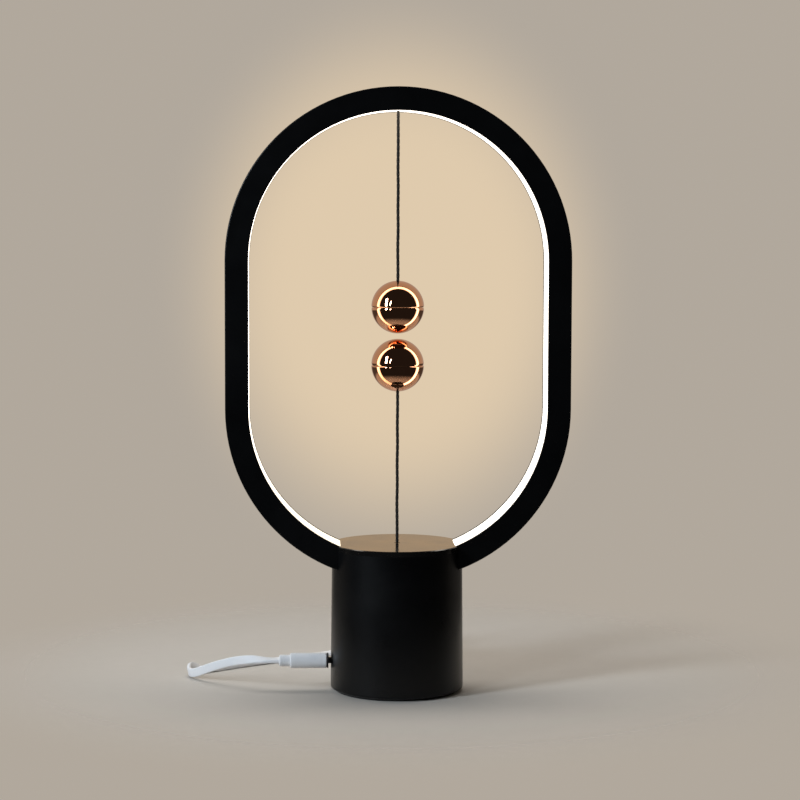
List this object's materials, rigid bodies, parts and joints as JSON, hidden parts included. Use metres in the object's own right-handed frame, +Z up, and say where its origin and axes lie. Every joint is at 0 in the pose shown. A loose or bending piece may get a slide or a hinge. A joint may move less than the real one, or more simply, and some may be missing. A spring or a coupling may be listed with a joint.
{
  "type": "magnetic balance lamp",
  "caption": "Table lamp with an upright oval light ring on a round tapered base, whose two magnetic balls on cords pull together in mid-air to switch it on.",
  "frame": {"origin": "centre of the foot pad's underside, at the bottom of the base", "axes": "+Z up along the base's axis; +X to the right seen from the front, away from the power plug; +Y to the back"},
  "size_m": [0.1613, 0.1205, 0.2473],
  "materials": {
    "black_plastic": "satin",
    "diffuser": "lit frosted",
    "strip_board": "satin",
    "led_chip": "satin",
    "black_trim": "matte",
    "inner_plastic": "matte",
    "cord_fibre": "braided",
    "copper_mirror": "polished",
    "magnet": "plated",
    "screw_steel": "brushed",
    "foot_rubber": "matte",
    "cast_weight": "cast",
    "circuit_board": "satin",
    "board_parts": "matte",
    "button_plastic": "matte",
    "wire_skin": "smooth",
    "brass_pin": "bright",
    "plug_metal": "bright",
    "white_plastic": "smooth",
    "white_cable": "smooth"
  },
  "bodies": {
    "lamp_body": {"ring_front_shell": "black_plastic", "ring_rear_shell": "black_plastic", "ring_diffuser": "diffuser", "led_strip": "strip_board", "led_chips": "led_chip", "upper_cord_bushing": "diffuser", "cord_anchor_bridge": "inner_plastic", "ring_cord_knot": "cord_fibre", "base_shell": "black_plastic", "base_top_plate": "black_plastic", "top_plate_screws": "screw_steel", "lower_cord_bushing": "black_trim", "ring_saddle": "inner_plastic", "saddle_screws": "screw_steel", "bottom_cover": "black_trim", "bottom_cover_screws": "screw_steel", "foot_pad": "foot_rubber", "ballast_weight": "cast_weight", "board_standoffs": "inner_plastic", "driver_board": "circuit_board", "board_components": "board_parts", "power_jack": "black_trim", "jack_centre_pin": "brass_pin", "switch_bracket": "screw_steel", "lever_pin": "screw_steel", "micro_switch_body": "board_parts", "return_spring": "screw_steel", "led_wires": "wire_skin", "jack_wires": "wire_skin"},
    "upper_swivel": {"upper_cord_bead": "cord_fibre"},
    "upper_pendulum": {"upper_cord": "cord_fibre", "upper_ball_cord_half": "copper_mirror", "upper_ball_magnet_half": "copper_mirror", "upper_ball_core": "inner_plastic", "upper_ball_magnet": "magnet", "upper_ball_knot": "cord_fibre"},
    "lower_swivel": {"lower_cord_bead": "cord_fibre"},
    "lower_stalk": {"lower_cord": "cord_fibre"},
    "lower_ball": {"lower_ball_cord_half": "copper_mirror", "lower_ball_magnet_half": "copper_mirror", "lower_ball_core": "inner_plastic", "lower_ball_magnet": "magnet", "lower_ball_knot": "cord_fibre"},
    "pull_cord": {"inner_pull_cord": "cord_fibre", "pull_cord_stop": "inner_plastic"},
    "switch_arm": {"switch_lever": "inner_plastic"},
    "switch_button": {"micro_switch_button": "button_plastic"},
    "power_plug": {"plug_barrel": "black_trim", "plug_collar": "black_trim", "plug_body": "white_plastic", "plug_strain_relief": "white_plastic", "power_lead": "white_cable", "power_lead_coil": "white_cable", "power_lead_tail": "white_cable", "far_plug_strain_relief": "white_plastic", "far_plug_grip": "white_plastic", "far_plug_shell": "plug_metal", "far_plug_tongue": "white_plastic", "far_plug_contacts": "brass_pin"}
  },
  "joints": [
    {"name": "upper_swing_side", "type": "hinge", "parent": "lamp_body", "child": "upper_swivel", "pos_m": [0, 0, 0.2381], "axis": [0, 1, 0], "range_deg": [-38, 38]},
    {"name": "upper_swing_front", "type": "hinge", "parent": "upper_swivel", "child": "upper_pendulum", "pos_m": [0, 0, 0.2381], "axis": [1, 0, 0], "range_deg": [-65, 65]},
    {"name": "lower_tilt_side", "type": "hinge", "parent": "lamp_body", "child": "lower_swivel", "pos_m": [0, 0, 0.0617], "axis": [0, 1, 0], "range_deg": [-42, 42]},
    {"name": "lower_tilt_front", "type": "hinge", "parent": "lower_swivel", "child": "lower_stalk", "pos_m": [0, 0, 0.0617], "axis": [1, 0, 0], "range_deg": [-85, 85]},
    {"name": "lower_ball_drop", "type": "slide", "parent": "lower_stalk", "child": "lower_ball", "axis": [0, 0, 1], "range_m": [-0.035, 0], "deforming": ["lower_cord"]},
    {"name": "cord_pull", "type": "slide", "parent": "lamp_body", "child": "pull_cord", "axis": [0, 0, 1], "range_m": [-0.0025, 0], "deforming": ["return_spring"]},
    {"name": "switch_lever_turn", "type": "hinge", "parent": "lamp_body", "child": "switch_arm", "pos_m": [-0.009, 0, 0.0351], "axis": [0, 1, 0], "range_deg": [0, 16]},
    {"name": "switch_button_travel", "type": "slide", "parent": "lamp_body", "child": "switch_button", "axis": [0, 0, 1], "range_m": [-0.0008, 0]},
    {"name": "plug_pull", "type": "slide", "parent": "lamp_body", "child": "power_plug", "axis": [-1, 0, 0], "range_m": [0, 0.012]}
  ],
  "couplings": [
    {"joint": "cord_pull", "follows": "lower_ball_drop", "ratio": 0.0714},
    {"joint": "switch_lever_turn", "follows": "lower_ball_drop", "rad_per_m": -7.93},
    {"joint": "switch_button_travel", "follows": "lower_ball_drop", "ratio": 0.0228}
  ]
}
